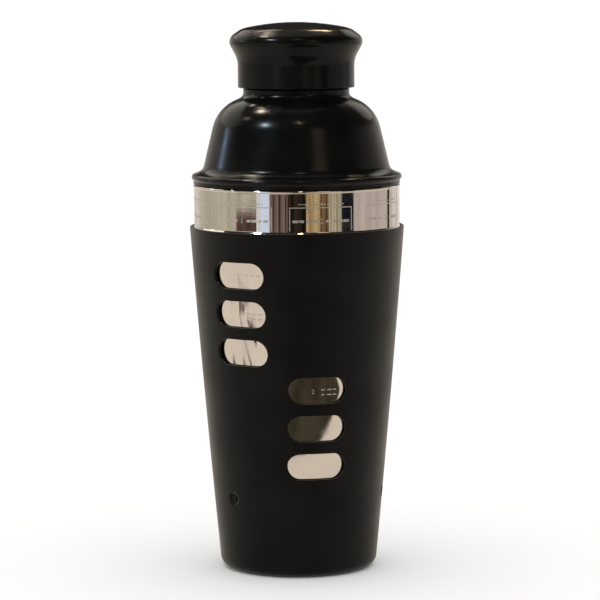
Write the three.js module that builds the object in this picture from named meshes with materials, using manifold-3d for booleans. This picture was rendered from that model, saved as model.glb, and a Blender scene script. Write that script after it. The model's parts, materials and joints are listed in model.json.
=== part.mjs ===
// A rotary recipe cocktail shaker, standing upright. A mirror-steel cup turns inside a tapered plastic
// sleeve, and the recipe marks on the cup pass behind the sleeve's six windows. A domed top with a
// strainer pushes into the mouth of the cup, and a mushroom cap, which is also the measure, covers its neck.
// Millimetres, +Z up. The origin is the middle of the foot, and the front faces -Y.
import * as THREE from 'three';
import { mergeVertices } from 'three/addons/utils/BufferGeometryUtils.js';
import Module from 'manifold-3d';

const wasm = await Module();
wasm.setup();

// Driving dimensions
const overallHeight = 263;
const shellSegments = 40;
const ringSegments = 32;
const pinSegments = 12;
const fitGap = 0.3;
const turningGap = 0.3;

// Sleeve: a taper with a slight outward bow
const sleeveRimHeight = 165.5;
const sleeveRimRadius = 51.6;
const sleeveFootRadius = 37.4;
const sleeveBow = 0.45;
const sleeveWall = 1.5;
const sleeveCornerRadius = 5;
const sleeveFloorThickness = 2.5;
const sleeveFloorHoleRadius = 18;

// Foot ring, let into the underside of the sleeve
const footStandProud = 0.4;
const footRingInner = 24;
const footRingOuter = 30;
const footRecessDepth = 1.5;

// Windows: two columns of three. The right column starts where the left one ends
const windowWidth = 28;
const windowHeight = 12.6;
const windowPitch = 18.3;
const windowColumns = [{ azimuth: -23.5, top: 145.1 }, { azimuth: 23.5, top: 91 }];
const windowsPerColumn = 3;

// Retaining pins, whose tips run in a rolled groove of the cup
const pinHeight = 37;
const pinRadius = 1.6;
const pinSeatRadius = 3.5;
const pinSeatDepth = 0.9;
const pinSunk = 0.35;
const pinTipDepth = 0.8;
const pinAzimuths = { left: -37.6, right: 92.4, rear: 207.4 };
const grooveDepth = 1.2;
const grooveMouth = 2.8;
const grooveBed = 2.0;

// Cup, on a washer that lies on the sleeve's floor
const cupWall = 0.7;
const cupBandRadius = 49.35;
const cupRimRadius = 49.6;
const cupRimHeight = 185.6;
const cupRimRoll = 1.2;
const cupCornerRadius = 5;
const cupPushUp = 1.5;
const cupPushUpRadius = 22;
const cupShoulderRise = 0.6;
const washerInner = 20;
const washerOuter = 31;
const washerThickness = 1;

// Domed top
const domeWall = 2.2;
const beadHeight = 189.2;
const beadRadius = 50.5;
const beadRound = 1.55;
const skirtRadius = 49.6;
const plugRadius = 47.3;
const plugWall = 2.6;
const plugDepth = 9.9;
const shoulderRound = 18.9;
const shoulderCentreRadius = 21.8;
const shoulderCentreHeight = 208.5;
const shoulderStart = 14;
const shoulderEnd = 65;
const beadFillet = { radius: 48.65, height: 195.45, round: 4.2 };
const waistRadius = 25.45;
const waistRound = 2.9;
const waistRoundHeight = 229.45;
const waistTop = 231.4;
const neckRadius = 24;
const neckBore = 21.2;
const neckTop = 244.5;
const mouthChamfer = 0.8;

// Seals, each in a groove that it stands proud of
const topSeal = { height: 180.5, thickness: 3.2, grooveDepth: 1, proud: 0.9 };
const capSeal = { height: 239, thickness: 3, grooveDepth: 1.4, proud: 0.3 };

// Strainer and the snap ring under it
const strainerLedge = 226;
const strainerSeatRadius = 24.4;
const strainerSeatDepth = 3.2;
const strainerThickness = 0.6;
const strainerHoleRadius = 1.15;
const strainerHoleRings = 3;
const strainerHolePitch = 5.6;
const retainerWidth = 2.2;
const retainerThickness = 1.7;

// Cap and measure
const capBottom = 231.8;
const capSkirtRadius = 27.95;
const capBore = 26;
const capCeiling = 258.2;
const capFlareRound = 11;
const capFlareHeight = 242.5;
const capLipRadius = 31.86;
const capLipRound = 4.24;
const capLipHeight = 253.7;
const capCrownRadius = 26.9;
const capCrownRise = 3.5;
const linerWall = 1.1;

// Heights that follow from the sizes above
const recessTop = footStandProud + footRecessDepth;
const floorTop = recessTop + sleeveFloorThickness;
const washerBottom = floorTop + fitGap;
const cupBottom = washerBottom + washerThickness + fitGap;
const skirtBottom = cupRimHeight + fitGap;
const discTop = strainerLedge - fitGap;
const retainerTop = discTop - strainerThickness - fitGap;

const radians = (degrees) => (degrees * Math.PI) / 180;

// Radius of the sleeve's outside at a height
function sleeveRadius(height) {
  const along = height / sleeveRimHeight;
  const taper = (sleeveRimRadius - sleeveFootRadius) * along;
  return sleeveFootRadius + taper + sleeveBow * 4 * along * (1 - along);
}

// Radius of the sleeve's inside at a height
function sleeveBore(height) {
  return sleeveRadius(height) - sleeveWall;
}

// Radius of the cup's outside where the sleeve covers it
function coveredCupRadius(height) {
  return sleeveBore(height) - turningGap;
}

// One point [radius, height] on a circle in the profile plane, counted from straight outward
function onArc(centreRadius, centreHeight, round, degrees) {
  const angle = radians(degrees);
  return [centreRadius + round * Math.cos(angle), centreHeight + round * Math.sin(angle)];
}

// Points along an arc of that circle
function arc(centreRadius, centreHeight, round, startDegrees, endDegrees, steps) {
  const points = [];
  for (let step = 0; step <= steps; step += 1) {
    const degrees = startDegrees + ((endDegrees - startDegrees) * step) / steps;
    points.push(onArc(centreRadius, centreHeight, round, degrees));
  }
  return points;
}

// Points [radius, height] that follow a radius formula between two heights
function follow(radiusAt, fromHeight, toHeight, steps) {
  const points = [];
  for (let step = 0; step <= steps; step += 1) {
    const height = fromHeight + ((toHeight - fromHeight) * step) / steps;
    points.push([radiusAt(height), height]);
  }
  return points;
}

// A solid of revolution about +Z. The profile runs up the outside and down the inside, and either
// starts and ends on the axis or is closed here
function turned(profile, segments = shellSegments) {
  const points = profile.map(([radius, height]) => new THREE.Vector2(radius, height));
  if (points[0].x !== 0) {
    points.push(points[0].clone());
  }
  return new THREE.LatheGeometry(points, segments).rotateX(Math.PI / 2);
}

// A ring of rectangular section
function ring(innerRadius, outerRadius, bottom, thickness) {
  const top = bottom + thickness;
  const section = [[innerRadius, bottom], [outerRadius, bottom], [outerRadius, top], [innerRadius, top]];
  return turned(section, ringSegments);
}

// The groove of a seal, cut into a wall that runs up the profile
function sealGroove(wallRadius, seal) {
  const half = seal.thickness / 2 + fitGap;
  const bed = wallRadius - seal.grooveDepth;
  return [
    [wallRadius, seal.height - half],
    [bed, seal.height - half],
    [bed, seal.height + half],
    [wallRadius, seal.height + half],
  ];
}

// The seal that lies in that groove
function sealRing(wallRadius, seal) {
  const inner = wallRadius - seal.grooveDepth + fitGap;
  return ring(inner, wallRadius + seal.proud, seal.height - seal.thickness / 2, seal.thickness);
}

// Turns a closed geometry into a solid that can be joined or cut
function solid(geometry) {
  const bare = geometry.clone();
  bare.deleteAttribute('normal');
  bare.deleteAttribute('uv');
  const merged = mergeVertices(bare);
  const corners = merged.index.array;
  const kept = [];
  for (let corner = 0; corner < corners.length; corner += 3) {
    const [a, b, c] = corners.slice(corner, corner + 3);
    if (a !== b && b !== c && c !== a) {
      kept.push(a, b, c);
    }
  }
  return new wasm.Manifold(new wasm.Mesh({
    numProp: 3,
    vertProperties: new Float32Array(merged.attributes.position.array),
    triVerts: new Uint32Array(kept),
  }));
}

// Turns a solid back into a geometry
function geometryOf(shape) {
  const mesh = shape.getMesh();
  const geometry = new THREE.BufferGeometry();
  geometry.setAttribute('position', new THREE.BufferAttribute(mesh.vertProperties, 3));
  geometry.setIndex(new THREE.BufferAttribute(mesh.triVerts, 1));
  geometry.computeVertexNormals();
  return geometry;
}

// Places a tool drawn along its own +Z so that it points outward from the axis, at an azimuth
// measured from the front (-Y) towards +X
function outward(geometry, azimuth, radius, height) {
  const angle = radians(azimuth);
  const across = new THREE.Vector3(Math.cos(angle), Math.sin(angle), 0);
  const up = new THREE.Vector3(0, 0, 1);
  const out = new THREE.Vector3(Math.sin(angle), -Math.cos(angle), 0);
  const place = new THREE.Matrix4().makeBasis(across, up, out);
  place.setPosition(out.x * radius, out.y * radius, height);
  return geometry.applyMatrix4(place);
}

// Materials
const satinBlack = () => new THREE.MeshStandardMaterial({ color: 0x17171a, roughness: 0.42, metalness: 0 });
const glossBlack = () => new THREE.MeshStandardMaterial({ color: 0x0b0b0d, roughness: 0.16, metalness: 0 });
const mirrorSteel = () => new THREE.MeshStandardMaterial({ color: 0xc9c6c0, roughness: 0.08, metalness: 1 });
const silicone = () => new THREE.MeshStandardMaterial({ color: 0x2b2b2d, roughness: 0.7, metalness: 0 });
const glideWhite = () => new THREE.MeshStandardMaterial({ color: 0xdedcd4, roughness: 0.5, metalness: 0 });

// The pill outline of a window, as a cutter that runs outward through the wall
function windowCutter(azimuth, height) {
  const reach = 12;
  const endRadius = windowHeight / 2;
  const endOffset = windowWidth / 2 - endRadius;
  const outline = new THREE.Shape();
  outline.absarc(endOffset, 0, endRadius, -Math.PI / 2, Math.PI / 2, false);
  outline.absarc(-endOffset, 0, endRadius, Math.PI / 2, (3 * Math.PI) / 2, false);
  const cut = { depth: 2 * reach, bevelEnabled: false, curveSegments: 7 };
  const pill = new THREE.ExtrudeGeometry(outline, cut);
  return outward(pill, azimuth, sleeveRadius(height) - reach, height);
}

// The dished seat and the bore that a pin sits in, as one cutter
function pinSeatCutter(azimuth) {
  const boreRadius = pinRadius + fitGap;
  const boreEnd = -3 * sleeveWall;
  const clearance = 1;
  const seat = turned([
    [0, boreEnd],
    [boreRadius, boreEnd],
    [boreRadius, -pinSeatDepth],
    [pinSeatRadius, 0],
    [pinSeatRadius, clearance],
    [0, clearance],
  ], pinSegments);
  return outward(seat, azimuth, sleeveRadius(pinHeight), pinHeight);
}

// Tapered sleeve with a rounded foot, an open floor and a recess for the foot ring
function sleeve() {
  const corner = footStandProud + sleeveCornerRadius;
  const insideRound = 4;
  const insideCorner = floorTop + insideRound;
  const edge = 0.5;
  let shape = solid(turned([
    [sleeveFloorHoleRadius, footStandProud],
    [footRingInner - fitGap, footStandProud],
    [footRingInner - fitGap, recessTop],
    [footRingOuter + fitGap, recessTop],
    [footRingOuter + fitGap, footStandProud],
    ...arc(sleeveRadius(corner) - sleeveCornerRadius, corner, sleeveCornerRadius, -90, 0, 3),
    ...follow(sleeveRadius, sleeveRimHeight / 3, sleeveRimHeight - edge, 2),
    [sleeveRimRadius - edge, sleeveRimHeight],
    [sleeveBore(sleeveRimHeight), sleeveRimHeight],
    ...follow(sleeveBore, (2 * sleeveRimHeight) / 3, insideCorner, 2),
    ...arc(sleeveBore(insideCorner) - insideRound, insideCorner, insideRound, -45, -90, 1),
    [sleeveFloorHoleRadius, floorTop],
  ]));
  for (const { azimuth, top } of windowColumns) {
    for (let row = 0; row < windowsPerColumn; row += 1) {
      shape = shape.subtract(solid(windowCutter(azimuth, top - row * windowPitch)));
    }
  }
  for (const azimuth of Object.values(pinAzimuths)) {
    shape = shape.subtract(solid(pinSeatCutter(azimuth)));
  }
  return geometryOf(shape);
}

// Round pin with a chamfered tip in the cup's groove and a domed outer end in its seat
function retainingPin(azimuth) {
  const chamfer = 0.4;
  const domeRise = 0.45;
  const domeTop = 1.0;
  const tip = coveredCupRadius(pinHeight) - pinTipDepth - sleeveRadius(pinHeight);
  const pin = turned([
    [0, tip],
    [pinRadius - chamfer, tip],
    [pinRadius, tip + chamfer],
    [pinRadius, -pinSunk - domeRise],
    [domeTop, -pinSunk],
    [0, -pinSunk],
  ], pinSegments);
  return outward(pin, azimuth, sleeveRadius(pinHeight), pinHeight);
}

// One side of the cup's covered wall, from the corner of its base past the groove to the sleeve's rim
function coveredWall(inset) {
  const corner = cupBottom + cupCornerRadius;
  const wall = (height) => coveredCupRadius(height) - inset;
  const bed = wall(pinHeight) - grooveDepth;
  return [
    [wall(corner), corner],
    [wall(pinHeight - grooveMouth), pinHeight - grooveMouth],
    [bed, pinHeight - grooveBed],
    [bed, pinHeight + grooveBed],
    [wall(pinHeight + grooveMouth), pinHeight + grooveMouth],
    ...follow(wall, sleeveRimHeight / 2, sleeveRimHeight, 2),
  ];
}

// Deep-drawn steel cup: pushed-up base, rolled groove, plain band above the sleeve and a rolled rim
function cup() {
  const corner = coveredCupRadius(cupBottom + cupCornerRadius) - cupCornerRadius;
  const cornerHeight = cupBottom + cupCornerRadius;
  const pushUpFoot = cupPushUpRadius + 2;
  const shoulder = sleeveRimHeight + cupShoulderRise;
  const insideBand = cupBandRadius - cupWall;
  const roll = (cupRimRadius - insideBand) / 2;
  const rollBottom = cupRimHeight - cupRimRoll;
  return turned([
    [0, cupBottom + cupPushUp],
    [cupPushUpRadius, cupBottom + cupPushUp],
    [pushUpFoot, cupBottom],
    [corner, cupBottom],
    onArc(corner, cornerHeight, cupCornerRadius, -45),
    ...coveredWall(0),
    [cupBandRadius, shoulder],
    [cupBandRadius, rollBottom - 0.2],
    [cupRimRadius, rollBottom],
    ...arc(cupRimRadius - roll, cupRimHeight - roll, roll, 0, 180, 3),
    [insideBand, shoulder],
    ...coveredWall(cupWall).reverse(),
    onArc(corner, cornerHeight, cupCornerRadius - cupWall, -45),
    [corner, cupBottom + cupWall],
    [pushUpFoot, cupBottom + cupWall],
    [cupPushUpRadius, cupBottom + cupPushUp + cupWall],
    [0, cupBottom + cupPushUp + cupWall],
  ]);
}

// Domed top. Outside: plug, skirt and bead, tapering wall, round shoulder, waisted neck and pouring
// mouth. Inside: strainer seat in the neck's foot, then the hollow of the dome down to the plug
function dome() {
  const plugBottom = skirtBottom - plugDepth;
  const plugInside = plugRadius - plugWall;
  const beadCentre = beadRadius - beadRound;
  const shoulder = [shoulderCentreRadius, shoulderCentreHeight];
  const strainerBoss = strainerLedge - strainerSeatDepth;
  return turned([
    [plugInside, plugBottom],
    [plugRadius - mouthChamfer, plugBottom],
    [plugRadius, plugBottom + mouthChamfer],
    ...sealGroove(plugRadius, topSeal),
    [plugRadius, skirtBottom],
    [skirtRadius, skirtBottom],
    ...arc(beadCentre, beadHeight, beadRound, -60, 90, 3),
    ...arc(beadFillet.radius, beadFillet.height, beadFillet.round, 246, 194, 2),
    ...arc(...shoulder, shoulderRound, shoulderStart, shoulderEnd, 4),
    ...arc(waistRadius + waistRound, waistRoundHeight, waistRound, 245, 180, 2),
    [waistRadius, waistTop],
    [neckRadius, waistTop],
    ...sealGroove(neckRadius, capSeal),
    [neckRadius, neckTop - mouthChamfer],
    [neckRadius - mouthChamfer, neckTop],
    [neckBore, neckTop],
    [neckBore, strainerLedge],
    [strainerSeatRadius, strainerLedge],
    [strainerSeatRadius, strainerBoss],
    [strainerSeatRadius + domeWall, strainerBoss],
    ...arc(...shoulder, shoulderRound - domeWall, 55, shoulderStart, 3),
    [plugInside - domeWall, beadHeight + 2],
    [plugInside, skirtBottom],
  ]);
}

// Perforated steel disc: one hole in the middle and rings of holes around it
function strainer() {
  const radius = strainerSeatRadius - fitGap;
  const bottom = discTop - strainerThickness;
  const drillLength = 4;
  const drill = new THREE.CylinderGeometry(strainerHoleRadius, strainerHoleRadius, drillLength, 6);
  drill.rotateX(Math.PI / 2);
  let disc = solid(turned([[0, bottom], [radius, bottom], [radius, discTop], [0, discTop]], ringSegments));
  for (let row = 0; row <= strainerHoleRings; row += 1) {
    const holes = Math.max(1, row * 6);
    for (let hole = 0; hole < holes; hole += 1) {
      const angle = (2 * Math.PI * hole) / holes;
      const reach = row * strainerHolePitch;
      const cutter = drill.clone().translate(reach * Math.cos(angle), reach * Math.sin(angle), bottom);
      disc = disc.subtract(solid(cutter));
    }
  }
  return geometryOf(disc);
}

// Mushroom cap: straight skirt, concave flare, round lip and a shallow crown over a straight bore
function capShell() {
  const flareCentre = capSkirtRadius + capFlareRound;
  const crownRound = (capCrownRadius ** 2 + capCrownRise ** 2) / (2 * capCrownRise);
  const crownCentre = overallHeight - crownRound;
  const edge = 0.4;
  return turned([
    [0, capCeiling],
    [capBore, capCeiling],
    [capBore, capBottom],
    [capSkirtRadius - edge, capBottom],
    [capSkirtRadius, capBottom + edge],
    ...arc(flareCentre, capFlareHeight, capFlareRound, 180, 152, 2),
    ...arc(capLipRadius - capLipRound, capLipHeight, capLipRound, -28, 54, 3),
    [capCrownRadius, overallHeight - capCrownRise],
    [capCrownRadius / 2, crownCentre + Math.sqrt(crownRound ** 2 - capCrownRadius ** 2 / 4)],
    [0, overallHeight],
  ]);
}

// Inner cup of the cap, which is open downward while the cap is on
function measureLiner() {
  const outer = capBore - fitGap;
  const inner = outer - linerWall;
  const bottom = capBottom + fitGap;
  const top = capCeiling - fitGap;
  return turned([
    [0, top - linerWall],
    [inner, top - linerWall],
    [inner, bottom],
    [outer, bottom],
    [outer, top],
    [0, top],
  ]);
}

// Snap ring that holds the strainer up against its ledge
function strainerRetainer() {
  const outer = strainerSeatRadius - fitGap;
  return ring(outer - retainerWidth, outer, retainerTop - retainerThickness, retainerThickness);
}

const shaker = new THREE.Group();

function add(name, geometry, material) {
  const mesh = new THREE.Mesh(geometry, material);
  mesh.name = name;
  shaker.add(mesh);
}

add('outer_sleeve', sleeve(), satinBlack());
for (const [side, azimuth] of Object.entries(pinAzimuths)) {
  add(`sleeve_pin_${side}`, retainingPin(azimuth), satinBlack());
}
add('foot_ring', ring(footRingInner, footRingOuter, 0, recessTop - fitGap), silicone());
add('glide_washer', ring(washerInner, washerOuter, washerBottom, washerThickness), glideWhite());
add('shaker_cup', cup(), mirrorSteel());
add('top_dome', dome(), glossBlack());
add('top_seal', sealRing(plugRadius, topSeal), silicone());
add('strainer_disc', strainer(), mirrorSteel());
add('strainer_retainer', strainerRetainer(), glossBlack());
add('cap_seal', sealRing(neckRadius, capSeal), silicone());
add('cap_shell', capShell(), glossBlack());
add('measure_liner', measureLiner(), glossBlack());

export default shaker;
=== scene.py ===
"""The looks of a rotary recipe cocktail shaker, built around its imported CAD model.

Outlines are drawn in millimetres, as (distance from the turning axis, height). Meshes, lights and the
camera are in metres. Azimuths are in degrees, from the front (-Y) towards +X.
"""
import json
import math
import random
import bmesh
import bpy
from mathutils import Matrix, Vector

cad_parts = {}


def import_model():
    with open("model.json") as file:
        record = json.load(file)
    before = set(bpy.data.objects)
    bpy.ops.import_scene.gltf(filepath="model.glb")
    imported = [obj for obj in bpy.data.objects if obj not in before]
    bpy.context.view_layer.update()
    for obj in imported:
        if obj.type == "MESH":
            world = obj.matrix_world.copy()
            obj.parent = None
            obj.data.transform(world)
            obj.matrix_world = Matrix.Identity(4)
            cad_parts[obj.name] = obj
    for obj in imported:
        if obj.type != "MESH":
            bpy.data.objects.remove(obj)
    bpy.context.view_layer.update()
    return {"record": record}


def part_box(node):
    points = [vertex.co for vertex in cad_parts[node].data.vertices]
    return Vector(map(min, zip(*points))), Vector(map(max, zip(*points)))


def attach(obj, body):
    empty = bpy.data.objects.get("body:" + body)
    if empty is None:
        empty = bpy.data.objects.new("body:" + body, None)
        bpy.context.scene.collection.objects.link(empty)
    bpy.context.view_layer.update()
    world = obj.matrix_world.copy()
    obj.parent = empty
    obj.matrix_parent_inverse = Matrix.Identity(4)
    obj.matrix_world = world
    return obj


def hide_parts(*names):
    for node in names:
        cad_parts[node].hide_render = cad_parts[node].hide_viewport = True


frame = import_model()

MM = 0.001

# How finely round shapes are drawn. A support point stands beside each rounding, and a rounding takes up
# at most this share of a straight stretch.
SEGMENTS = 240
SMALL_SEGMENTS = 144
PIN_SEGMENTS = 48
ARC_STEP = math.radians(13)
SUPPORT = 0.25
ROUNDING_SHARE = 0.48
MERGE_DISTANCE = 2e-6
SHARP_ANGLE = math.radians(50)


def extent(node):
    """Bottom, top and largest radius of a CAD node, in millimetres."""
    low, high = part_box(node)
    return low.z / MM, high.z / MM, high.x / MM


PINS = ("sleeve_pin_left", "sleeve_pin_right", "sleeve_pin_rear")

# Sizes that the frame gives
sleeve_bottom, rim_height, rim_radius = extent("outer_sleeve")
foot_bottom, foot_top, foot_outer = extent("foot_ring")
washer_bottom, washer_top, washer_outer = extent("glide_washer")
cup_bottom, cup_top, cup_rim_radius = extent("shaker_cup")
plug_bottom, neck_top, bead_radius = extent("top_dome")
top_seal_bottom, top_seal_top, top_seal_outer = extent("top_seal")
disc_bottom, disc_top, disc_radius = extent("strainer_disc")
retainer_bottom, retainer_top, retainer_outer = extent("strainer_retainer")
cap_seal_bottom, cap_seal_top, cap_seal_outer = extent("cap_seal")
cap_bottom, cap_top = extent("cap_shell")[:2]
liner_bottom, liner_top, liner_outer = extent("measure_liner")

# Sizes of the design that no box gives
FIT_GAP = 0.3
TURNING_GAP = 0.3
SLEEVE_TAPER = 14.2
SLEEVE_BOW = 0.45
SLEEVE_WALL = 1.5
SLEEVE_CORNER = 5.0
SLEEVE_FLOOR = 2.5
SLEEVE_FLOOR_HOLE = 18.0
FOOT_RING_INNER = 24.0
WASHER_INNER = 20.0
WINDOW_WIDTH = 28.0
WINDOW_HEIGHT = 12.6
WINDOW_PITCH = 18.3
WINDOW_AZIMUTH = 23.5
WINDOW_HEIGHTS = [top - row * WINDOW_PITCH for top in (145.1, 91.0) for row in range(3)]
PIN_RADIUS = 1.6
PIN_SEAT_RADIUS = 3.5
PIN_SEAT_DEPTH = 0.9
PIN_SUNK = 0.35
PIN_CROWN = 0.15
PIN_DIMPLE_RADIUS = 0.6
PIN_DIMPLE_MOUTH = 0.75
PIN_DIMPLE_DEPTH = 0.25
PIN_TIP_DEPTH = 0.8
GROOVE_DEPTH = 1.2
GROOVE_MOUTH = 2.8
GROOVE_BED = 2.0
CUP_WALL = 0.7
CUP_CORNER = 5.0
CUP_PUSH_UP = 1.5
CUP_PUSH_UP_RADIUS = 22.0
CUP_PUSH_UP_FOOT = 24.0
BAND_RADIUS = 49.35
BAND_SHOULDER_RISE = 0.6
RIM_ROLL = 1.2
SKIRT_RADIUS = 49.6
DOME_WALL = 2.2
PLUG_RADIUS = 47.3
PLUG_WALL = 2.6
TOP_SEAL_DEPTH = 1.0
CAP_SEAL_DEPTH = 1.4
BEAD_HEIGHT = 189.2
BEAD_ROUND = 1.55
BEAD_START = -50
BEAD_END = 88
BEAD_FILLET = (45.05, 192.5, 4.3)
SHOULDER = (21.8, 208.5)
SHOULDER_ROUND = 18.9
SHOULDER_START = 14
SHOULDER_END = 65
INNER_SHOULDER_END = 55
WAIST_FILLET = (25.45, 227.6, 2.9)
NECK_RADIUS = 24.0
NECK_BORE = 21.2
STRAINER_LEDGE = 226.0
STRAINER_SEAT_RADIUS = 24.4
STRAINER_SEAT_DEPTH = 3.2
STRAINER_HOLE_RADIUS = 1.15
STRAINER_HOLE_RINGS = 3
STRAINER_HOLE_PITCH = 5.6
HOLES_PER_RING = 6
DISC_POINTS = 96
HOLE_POINTS = 24
RETAINER_WIDTH = 2.2
CAP_SKIRT_RADIUS = 27.95
CAP_FLARE = (CAP_SKIRT_RADIUS, 245.25, 11.0)
CAP_LIP = (33.1, 254.95, 4.25)
CAP_CROWN_EDGE = (26.9, 259.45, 6.4)
CAP_CROWN_RISE = 3.2
CAP_BORE = 26.0
LINER_WALL = 1.1

# Recipe panels on the cup: how many, and their places and steps in degrees
PANELS = 8
PANEL_PITCH = 360 / PANELS
PANEL_WIDTH = 35.5
FIRST_PANEL_AZIMUTH = -20.0
BAR_STEP = 1.5

# Their marks, in millimetres
PANEL_TOP = 177.9
PANEL_LINE = 0.45
MARK_PROUD = 0.02
MARK_SUNK = 0.04
TICKS = 15
TICK_PITCH = 1.5
TICK_LENGTH = 0.9
TICK_RISE = 1.4
DASH_PITCH = 2.9

# The camera's place
CAMERA_AZIMUTH = 11.45
CAMERA_DISTANCE = 1.44
CAMERA_HEIGHT = 0.2883
CAMERA_PITCH = 0.110
CAMERA_ROLL = -0.0055
CAMERA_LENS = 180
CAMERA_SHIFT = 0.0044

BODY_OF = {
    node: body
    for body, nodes in frame["record"]["behaviour"]["bodies"].items()
    for node in nodes
}
COLOUR_OF = {slot["slot"]: slot["base_color"] for slot in frame["record"]["materials"]}


# ---- Outlines ----

def corner_arc(before, here, after, radius):
    """The arc that rounds one corner, with a point beside each end that keeps the straight stretches
    straight under smooth shading."""
    back, ahead = before - here, after - here
    turn = math.pi - back.angle(ahead)
    spare = ROUNDING_SHARE * min(back.length, ahead.length)
    reach = min(radius * math.tan(turn / 2), spare)
    radius = reach / math.tan(turn / 2)
    back_way, ahead_way = back.normalized(), ahead.normalized()
    centre = here + (back_way + ahead_way).normalized() * (radius / math.cos(turn / 2))
    start = here + back_way * reach - centre
    end = here + ahead_way * reach - centre
    swing = math.copysign(turn, start.cross(end))
    steps = max(3, math.ceil(turn / ARC_STEP))
    points = []
    if back.length / 2 - reach > SUPPORT:
        points.append(here + back_way * (reach + SUPPORT))
    for step in range(steps + 1):
        angle = swing * step / steps
        cosine, sine = math.cos(angle), math.sin(angle)
        across = start.x * cosine - start.y * sine
        up = start.x * sine + start.y * cosine
        points.append(centre + Vector((across, up)))
    if ahead.length / 2 - reach > SUPPORT:
        points.append(here + ahead_way * (reach + SUPPORT))
    return points


def rounded(corners):
    """Outline points from corners, each given as (across, up, rounding radius). The ends of an open
    outline have no radius."""
    points = []
    for index, (across, up, radius) in enumerate(corners):
        here = Vector((across, up))
        if radius == 0:
            points.append(here)
            continue
        before = Vector(corners[index - 1][:2])
        after = Vector(corners[(index + 1) % len(corners)][:2])
        points.extend(corner_arc(before, here, after, radius))
    return points


def arc(across, up, radius, first, last, steps):
    """Corners along an arc about a centre, between two angles counted from straight outward."""
    corners = []
    for step in range(steps + 1):
        angle = math.radians(first + (last - first) * step / steps)
        corners.append((across + radius * math.cos(angle), up + radius * math.sin(angle), 0))
    return corners


def follow(radius_at, first, last, steps):
    """Corners that follow a radius formula between two heights."""
    heights = [first + (last - first) * step / steps for step in range(steps + 1)]
    return [(radius_at(height), height, 0) for height in heights]


# ---- Solids, as lists of polygons ----

def around(radius, azimuth, height):
    """The point at a radius, azimuth and height."""
    angle = math.radians(azimuth)
    return radius * math.sin(angle), -radius * math.cos(angle), height


def turned(outline, closed=True, segments=SEGMENTS):
    """The polygons of an outline turned about +Z. A closed outline joins its last point to its first,
    which has no effect where both are on the axis."""
    step = 360 / segments
    rings = [[around(across, k * step, up) for k in range(segments)] for across, up in outline]
    if closed:
        rings.append(rings[0])
    polygons = []
    for lower, upper in zip(rings, rings[1:]):
        for k in range(segments):
            beside = (k + 1) % segments
            polygons.append((lower[k], lower[beside], upper[beside], upper[k]))
    return polygons


def plain_ring(inner, outer, bottom, top, radius):
    """A ring of rectangular section with rounded edges."""
    return turned(rounded([
        (inner, bottom, radius),
        (outer, bottom, radius),
        (outer, top, radius),
        (inner, top, radius),
    ]), segments=SMALL_SEGMENTS)


def outward(polygons, azimuth, radius, height):
    """Polygons drawn along +Z, placed to point outward from the axis."""
    angle = math.radians(azimuth)
    across = Vector((math.cos(angle), math.sin(angle), 0))
    up = Vector((0, 0, 1))
    out = Vector((math.sin(angle), -math.cos(angle), 0))
    place = out * radius + up * height
    return [[place + across * x + up * y + out * z for x, y, z in polygon] for polygon in polygons]


def add_object(name, data):
    """A new object in the scene."""
    thing = bpy.data.objects.new(name, data)
    bpy.context.scene.collection.objects.link(thing)
    return thing


def polygons_of(curve):
    """The polygons that fill a flat curve. The curve itself is used up."""
    holder = add_object(curve.name, curve)
    flat = bpy.data.meshes.new_from_object(holder.evaluated_get(bpy.context.evaluated_depsgraph_get()))
    polygons = [[flat.vertices[index].co.copy() for index in face.vertices] for face in flat.polygons]
    bpy.data.objects.remove(holder)
    bpy.data.curves.remove(curve)
    bpy.data.meshes.remove(flat)
    return polygons


def make_piece(name, body, polygons, material, replaced=()):
    """One closed mesh from polygons, riding on a body."""
    points = [[value * MM for value in point] for polygon in polygons for point in polygon]
    faces = []
    for polygon in polygons:
        start = faces[-1][-1] + 1 if faces else 0
        faces.append(tuple(range(start, start + len(polygon))))
    mesh = bpy.data.meshes.new(name)
    mesh.from_pydata(points, [], faces)
    work = bmesh.new()
    work.from_mesh(mesh)
    bmesh.ops.remove_doubles(work, verts=work.verts, dist=MERGE_DISTANCE)
    bmesh.ops.dissolve_degenerate(work, edges=work.edges, dist=MERGE_DISTANCE)
    bmesh.ops.recalc_face_normals(work, faces=work.faces)
    work.to_mesh(mesh)
    work.free()
    mesh.shade_smooth()
    mesh.set_sharp_from_angle(angle=SHARP_ANGLE)
    mesh.materials.append(material)
    piece = add_object(name, mesh)
    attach(piece, body)
    if replaced:
        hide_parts(*replaced)
    return piece


def stand_in_for(node, polygons, material):
    """The fine mesh that stands for one CAD node."""
    return make_piece(node + "_fine", BODY_OF[node], polygons, material, [node])


# ---- Sleeve ----

def sleeve_radius(height):
    """Radius of the sleeve's outside: a taper with a slight outward bow."""
    along = height / rim_height
    return rim_radius - SLEEVE_TAPER * (1 - along) + SLEEVE_BOW * 4 * along * (1 - along)


def covered_cup_radius(height):
    """Radius of the cup's outside where the sleeve covers it."""
    return sleeve_radius(height) - SLEEVE_WALL - TURNING_GAP


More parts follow.
